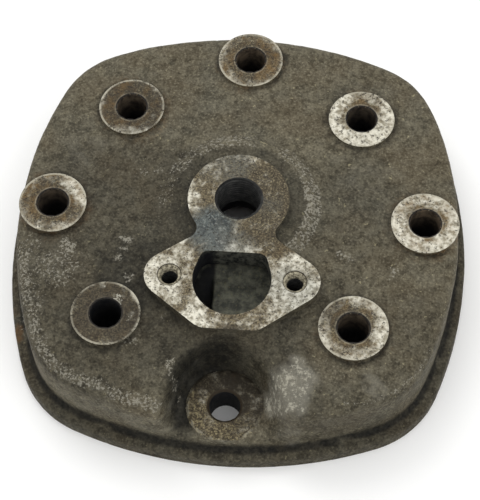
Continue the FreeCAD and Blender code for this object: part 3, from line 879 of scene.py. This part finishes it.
def cut_face():
    """The spot faces, the plug seat and the outlet flange: pale corroded aluminium under a brown film, with
    painted highlights on the rims of the rings and of the front boss.
    """
    recipe = Recipe("cut_face")
    cluster = recipe.noise(3, 4, 0.6)
    flecks = recipe.noise(0.8, 5, 0.72)
    tint = recipe.noise(1.6, 4, 0.65)
    grain = recipe.noise(0.5, 3, 0.65)
    studs = recipe.distance_to(*RAISED_STUDS)
    unspoilt = recipe.ramp(recipe.mark("grime"), 0.95, 1.25, 1, 0.35)
    grime = grime_on_cut_face(recipe, studs, cluster)
    film = recipe.ramp(grime, 0.14, 0.74, 0, 0.96)
    recipe.prime(recipe.ramp(tint, 0.36, 0.62), (138, 132, 114), (214, 210, 194))
    recipe.paint(film, film_colour(recipe, tint, grain, unspoilt))
    paint_face_dirt(recipe, grime, film, cluster, flecks, grain)
    paint_blue_and_rust(recipe, cluster, tint, flecks)
    paint_rings(recipe, studs, cluster, unspoilt)
    paint_front_boss(recipe, cluster, tint)
    normal = recipe.bump(cluster, 0.14, under=recipe.bump(flecks, 0.1))
    return recipe.finish(recipe.ramp(film, 0, 0.75, 0.5, 0.72), 0.2, normal, 0.3)


def two_toned(name, pattern, spread, dark, light):
    """A recipe that starts as two tones of a noise pattern, and that pattern."""
    recipe = Recipe(name)
    noise = recipe.noise(*pattern)
    recipe.prime(recipe.ramp(noise, *spread), dark, light)
    return recipe, noise


def bore_wall():
    """The stud holes and the plug hole: brown near the mouth and black below."""
    recipe, soot = two_toned("bore_wall", (3, 5, 0.65), (0.35, 0.7), (11, 13, 18), (34, 33, 32))
    height = recipe.put("ShaderNodeSeparateXYZ", {0: recipe.place}).outputs["Z"]
    near_mouth = recipe.ramp(height, (BOSS_HEIGHT - 13) * MM, (BOSS_HEIGHT - 1) * MM, 0, 0.9)
    brown = recipe.blend(recipe.ramp(soot, 0.35, 0.65), (50, 42, 33), (112, 98, 80))
    recipe.paint(recipe.times(near_mouth, recipe.mark("brown_hole")), brown)
    return recipe.finish(0.7, 0.2, recipe.bump(recipe.noise(0.8, 3), 0.08), 0.3)


# a near-black painted shadow over the left part of the outlet port
def paint_port_shadow(recipe):
    recipe.paint(recipe.times(recipe.mark("port_shadow"), 0.9), (18, 19, 24))


def waterway():
    """Inside the jacket and the outlet: grey-green scale and deposits, with a near-black painted shadow in
    the left part of the port.
    """
    recipe, scale = two_toned("waterway", (2.8, 6, 0.66), (0.35, 0.7), (62, 63, 57), (116, 116, 101))
    recipe.paint(recipe.ramp(recipe.noise(1, 4), 0.55, 0.75, 0, 0.5), (132, 126, 92))
    paint_port_shadow(recipe)
    return recipe.finish(0.75, 0.1, recipe.bump(scale, 0.25), 0.3)


def port_wall():
    """The upright wall of the outlet port, with a near-black painted shadow in its left part."""
    recipe, scale = two_toned("port_wall", (2.2, 6, 0.68), (0.36, 0.64), (22, 24, 24), (84, 84, 76))
    paint_port_shadow(recipe)
    return recipe.finish(0.8, 0, recipe.bump(scale, 0.2), 0.1)


def chamber_wall():
    """The combustion chamber: dull carbon with paler patches."""
    recipe, flakes = two_toned("chamber_wall", (2.4, 7, 0.7), (0.38, 0.66), (34, 30, 26), (88, 74, 58))
    recipe.paint(recipe.ramp(recipe.noise(9, 4), 0.52, 0.72, 0, 0.6), (132, 118, 98))
    return recipe.finish(0.7, 0.2, recipe.bump(flakes, 0.15))


def gasket_surface():
    """The underside that seals on the cylinder: fine-turned and stained."""
    recipe, stains = two_toned("gasket_surface", (5, 6, 0.66), (0.35, 0.68),
                               (126, 122, 110), (182, 179, 167))
    recipe.paint(recipe.ramp(recipe.noise(2, 6, 0.7), 0.58, 0.7, 0, 0.7), (84, 74, 58))
    turning = recipe.put("ShaderNodeTexWave", {"Vector": recipe.place, "Scale": 1 / (2.2 * MM),
                                               "Distortion": 0.4},
                         wave_type="RINGS", rings_direction="Z").outputs["Fac"]
    return recipe.finish(recipe.ramp(stains, 0.3, 0.7, 0.36, 0.6), 0.6, recipe.bump(turning, 0.02))


def insert_steel():
    recipe, dirt = two_toned("insert_steel", (1.6, 5, 0.7), (0.36, 0.66), (13, 14, 14), (40, 40, 37))
    return recipe.finish(recipe.ramp(dirt, 0.3, 0.7, 0.7, 0.5), 0.3, recipe.bump(dirt, 0.05))


def insert_mouth():
    """The bared coils at the mouths of the outlet bolt holes."""
    recipe, dirt = two_toned("insert_mouth", (0.9, 5, 0.7), (0.38, 0.62), (78, 71, 54), (178, 171, 147))
    return recipe.finish(0.55, 0.3, recipe.bump(dirt, 0.05))


def seal_rubber():
    recipe, dust = two_toned("seal_rubber", (3, 5, 0.7), (0.5, 0.75), (28, 28, 29), (62, 60, 56))
    return recipe.finish(recipe.ramp(dust, 0.3, 0.7, 0.45, 0.7), 0, recipe.bump(dust, 0.05))


CUT_FACE = cut_face()
INSERT_STEEL = insert_steel()
INSERT_MOUTH = insert_mouth()
SEAL_RUBBER = seal_rubber()
CASTING_MATERIALS = {
    "cast_skin": cast_skin(), "cut_face": CUT_FACE, "bore_wall": bore_wall(), "waterway": waterway(),
    "port_wall": port_wall(), "chamber_wall": chamber_wall(), "gasket_surface": gasket_surface(),
}


# ---------------------------------------- which face has which material

JACKET_FLOOR = 0.5
JACKET_ROOF = 20.6
RECESS_UNDERSIDE = 9.4
RECESS_REACH = 24.0
RECESS_BACK = -36.0
PORT_SHELF = 15.0
PORT_WALL_FOOT = 19.6
PLUG_BORE_RADIUS = 8.4
PLUG_BORE_FOOT = 11.0
CHAMBER_RADIUS = 33.3
CHAMBER_TOP = 13.7
CHAMBER_SPHERE_RADIUS = 38.6
CHAMBER_SPHERE_DROP = 21.6
CHAMBER_LIP = 2.2
CASTING_SHARP_ANGLE = math.radians(38)


def faces_of(mesh):
    """The middle of each triangle, and how far it looks up: 1 is straight up and -1 straight down."""
    flat = np.empty(len(mesh.loops), np.int64)
    mesh.loops.foreach_get("vertex_index", flat)
    corners = points_of(mesh)[flat.reshape(-1, 3)]
    across = np.cross(corners[:, 1] - corners[:, 0], corners[:, 2] - corners[:, 0])
    up = across[:, 2] / np.maximum(np.linalg.norm(across, axis=1), 1e-9)
    return corners.mean(axis=1), up


def in_chamber(centre, up):
    """Marks the faces of the combustion chamber, whose roof is part of a sphere."""
    height = centre[:, 2]
    middle = distance_to(centre, (0.0, 0.0))
    sphere = np.sqrt(np.maximum(CHAMBER_SPHERE_RADIUS**2 - (height + CHAMBER_SPHERE_DROP)**2, 0))
    dome = (middle < CHAMBER_RADIUS) & (height < CHAMBER_TOP) & (up < 0.1)
    return dome & ((middle < sphere) | (height < CHAMBER_LIP))


def in_jacket(centre, bore):
    """Marks the faces of the water jacket, but not the outside of the recess that dips into it."""
    height = centre[:, 2]
    walls = outside_square(centre, *JACKET_OUTLINE)
    inside = (height > JACKET_FLOOR) & (height < JACKET_ROOF) & (walls < 0.6)
    inside &= bore > STUD_HOLE_RADIUS + 2
    recess = (distance_to(centre, STUD_FRONT) < RECESS_REACH) & (centre[:, 1] < RECESS_BACK)
    return inside & ~(recess & (height > RECESS_UNDERSIDE))


def on_cut_face(centre, up, stud, front_stud):
    """Marks the faces of the rings, the front boss, the plug seat and the flange."""
    height = centre[:, 2]
    boss = (stud < BOSS_RADIUS + 0.05) & (height > BOSS_HEIGHT - 0.45) & (up > 0.5)
    front_boss = (front_stud < FRONT_BOSS_RADIUS) & (np.abs(height - FRONT_BOSS_HEIGHT) < 0.75) & (up > 0.4)
    return boss | front_boss | ((height > FACE_HEIGHT - 0.55) & (up > 0.5))


def share_out_faces(mesh):
    """Gives each face of the casting its material, from where it is and which way it looks."""
    centre, up = faces_of(mesh)
    height = centre[:, 2]
    stud = nearest_stud(centre)
    front_stud = distance_to(centre, STUD_FRONT)
    bore = np.minimum(stud, front_stud)
    port = (distance_to(centre, PORT_CENTRE) < PORT_RADIUS + 0.3) & (height < FACE_HEIGHT - 0.25)
    port &= distance_to(centre, (0.0, 0.0)) > 6
    plug_bore = (distance_to(centre, PLUG) < PLUG_BORE_RADIUS) & (height > PLUG_BORE_FOOT)
    plug_bore &= height < FACE_HEIGHT - 0.2
    kind = np.zeros(len(centre), int)
    names = list(CASTING_MATERIALS)
    # where two of these overlap, the later one wins
    for name, where in (
            ("waterway", in_jacket(centre, bore) | (port & (height > PORT_SHELF))),
            ("port_wall", port & (height > PORT_WALL_FOOT) & (up < 0.6)),
            ("chamber_wall", in_chamber(centre, up)),
            ("bore_wall", (bore < STUD_HOLE_RADIUS + 0.35) & (up < 0.3) & (height > 0.3)),
            ("bore_wall", plug_bore),
            ("gasket_surface", (height < 0.15) & (up < -0.5)),
            ("cut_face", on_cut_face(centre, up, stud, front_stud))):
        kind[where] = names.index(name)
    mesh.polygons.foreach_set("material_index", kind)
    mesh.polygons.foreach_set("use_smooth", np.ones(len(kind), bool))
    mesh.set_sharp_from_angle(angle=CASTING_SHARP_ANGLE)


# ---------------------------------------- threads

# a thread's crest radius, root radius and pitch
M14_THREAD = (6.35, 7.0, 1.25)
M6_THREAD = (2.5, 3.0, 1.0)

THREAD_STEPS = 72
STEPS_PER_TURN = 14
CREST_SHARE = 1 / 4
FLANK_SHARE = 5 / 16
MOUTH_CHAMFER = 0.7
CHAMFERED_DEPTH = 0.45
THINNEST_WALL = 0.05
BARED_COILS = 3.2
BARED_TOP = 0.01
THREAD_SHARP_ANGLE = math.radians(35)


def thread_wall(turns):
    """How deep a thread's groove is, from 0 on the crest to 1 in the root, after that many turns."""
    part = turns % 1.0
    if part < CREST_SHARE:
        return 0.0
    if part < CREST_SHARE + FLANK_SHARE:
        return (part - CREST_SHARE) / FLANK_SHARE
    if part < 1 - FLANK_SHARE:
        return 1.0
    return (1 - part) / FLANK_SHARE


def thread_radius(thread, height, turn, flare):
    """The radius of a threaded wall at a height, part of a turn round, and in the flare of its mouth."""
    crest, root, pitch = thread
    depth = thread_wall(height / pitch - turn) * (root - crest)
    return crest + flare + depth * (CHAMFERED_DEPTH if flare > 0 else 1.0)


def sleeve_rings(thread, bottom, top, outside):
    """Rings of points that enclose a threaded sleeve, each point as a radius and a height."""
    rows = round(STEPS_PER_TURN * (top - bottom) / thread[2])
    rings = []
    for row in range(rows + 1):
        height = bottom + (top - bottom) * row / rows
        flare = max(0.0, MOUTH_CHAMFER - (top - height))
        radii = [thread_radius(thread, height, turn / THREAD_STEPS, flare) for turn in range(THREAD_STEPS)]
        rings.append([(min(radius, outside - THINNEST_WALL), height) for radius in radii])
    for height in (top, bottom):
        rings.append([(outside, height)] * THREAD_STEPS)
    return rings


def mesh_through(name, centre, rings):
    """A closed mesh through rings of points about an upright axis, the last ring joined to the first."""
    vertices = []
    for ring in rings:
        for turn, (radius, height) in enumerate(ring):
            angle = 2 * math.pi * turn / THREAD_STEPS
            x = centre[0] + radius * math.cos(angle)
            y = centre[1] + radius * math.sin(angle)
            vertices.append(Vector((x, y, height)) * MM)
    faces = []
    for loop in range(len(rings)):
        here = loop * THREAD_STEPS
        there = (loop + 1) % len(rings) * THREAD_STEPS
        for turn in range(THREAD_STEPS):
            after = (turn + 1) % THREAD_STEPS
            faces.append((here + turn, there + turn, there + after, here + after))
    mesh = bpy.data.meshes.new(name)
    mesh.from_pydata(vertices, [], faces)
    return mesh


def thread_insert(name, node, thread, sink, bared, mouth_material):
    """A sleeve with a helical thread inside, in the space of its CAD node, sunk a little below its top."""
    low, high = [np.array(corner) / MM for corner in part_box(node)]
    top = high[2] - sink
    mesh = mesh_through(name, (low + high) / 2, sleeve_rings(thread, low[2], top, (high[0] - low[0]) / 2))
    mesh.materials.append(INSERT_STEEL)
    mesh.materials.append(mouth_material)
    for polygon in mesh.polygons:
        polygon.material_index = 1 if polygon.center.z > (top - bared) * MM else 0
        polygon.use_smooth = True
    mesh.set_sharp_from_angle(angle=THREAD_SHARP_ANGLE)
    mark_surface(mesh)
    piece = put_in_scene(name, mesh)
    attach(piece, "root")
    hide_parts(node)


# ---------------------------------------- the pieces

casting = make_casting()
mark_surface(casting.data)
for material in CASTING_MATERIALS.values():
    casting.data.materials.append(material)
share_out_faces(casting.data)
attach(casting, "root")
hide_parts("head_casting")

thread_insert("plug_thread", "plug_thread_insert", M14_THREAD, 0.0, BARED_TOP, CUT_FACE)
for side in ("left", "right"):
    thread_insert("outlet_thread_" + side, "outlet_thread_insert_" + side, M6_THREAD, BOLT_SINK,
                  BARED_COILS, INSERT_MOUTH)

for seal in ("chamber_seal_ring", "jacket_seal_ring"):
    ring = frame["nodes"][seal]
    ring.data.materials.clear()
    ring.data.materials.append(SEAL_RUBBER)


# ---------------------------------------- floor, light and camera

FLOOR_HALF_WIDTH = 1500.0
FLOOR_GAP = 0.02
LIGHT_AIM = (0.0, 0.0, 10.0)
WHITE = (1.0, 1.0, 1.0, 1.0)


def make_floor():
    """A wide pale floor, just under the head so that the two never share a plane."""
    half = FLOOR_HALF_WIDTH * MM
    mesh = bpy.data.meshes.new("floor")
    mesh.from_pydata([(-half, -half, 0), (half, -half, 0), (half, half, 0), (-half, half, 0)], [],
                     [(0, 1, 2, 3)])
    recipe = Recipe("floor_paint")
    recipe.colour = srgb(250, 250, 249)
    mesh.materials.append(recipe.finish(0.9))
    floor = put_in_scene("floor", mesh)
    floor.location.z = -FLOOR_GAP * MM


def make_light(name, place, width, power):
    """A square soft light that looks at the head."""
    lamp = bpy.data.lights.new(name, "AREA")
    lamp.size = width * MM
    lamp.energy = power
    light = put_in_scene(name, lamp)
    light.location = Vector(place) * MM
    light.rotation_euler = (Vector(LIGHT_AIM) * MM - light.location).to_track_quat("-Z", "Y").to_euler()


def light_world(strength):
    world = bpy.data.worlds.new("studio")
    world.use_nodes = True
    background = world.node_tree.nodes["Background"]
    background.inputs["Color"].default_value = WHITE
    background.inputs["Strength"].default_value = strength
    bpy.context.scene.world = world


CAMERA_AIM = (1.163, -8.978, 19.685)
CAMERA_AZIMUTH = math.radians(5.36)
CAMERA_ELEVATION = math.radians(61.67)
CAMERA_ROLL = math.radians(-1.41)
CAMERA_DISTANCE = 433.69
CAMERA_LENS = 105.71
CAMERA_NEAR = 10.0


def make_camera():
    """Looks at the head from the front and above, as a person at a bench would."""
    level = Vector((math.cos(CAMERA_AZIMUTH), math.sin(CAMERA_AZIMUTH), 0.0))
    back = Vector((math.sin(CAMERA_AZIMUTH) * math.cos(CAMERA_ELEVATION),
                   -math.cos(CAMERA_AZIMUTH) * math.cos(CAMERA_ELEVATION), math.sin(CAMERA_ELEVATION)))
    upright = back.cross(level)
    right = level * math.cos(CAMERA_ROLL) + upright * math.sin(CAMERA_ROLL)
    up = upright * math.cos(CAMERA_ROLL) - level * math.sin(CAMERA_ROLL)
    data = bpy.data.cameras.new("camera")
    data.lens = CAMERA_LENS
    data.clip_start = CAMERA_NEAR * MM
    camera = put_in_scene("camera", data)
    turn = Matrix((right, up, back)).transposed().to_4x4()
    camera.matrix_world = Matrix.Translation((Vector(CAMERA_AIM) + back * CAMERA_DISTANCE) * MM) @ turn
    bpy.context.scene.camera = camera


make_floor()
light_world(strength=1.0)
make_light("key", place=(-260, 420, 620), width=420, power=1.6)
make_light("fill", place=(420, -300, 500), width=500, power=0.6)
make_camera()
bpy.context.scene.view_settings.view_transform = "Standard"
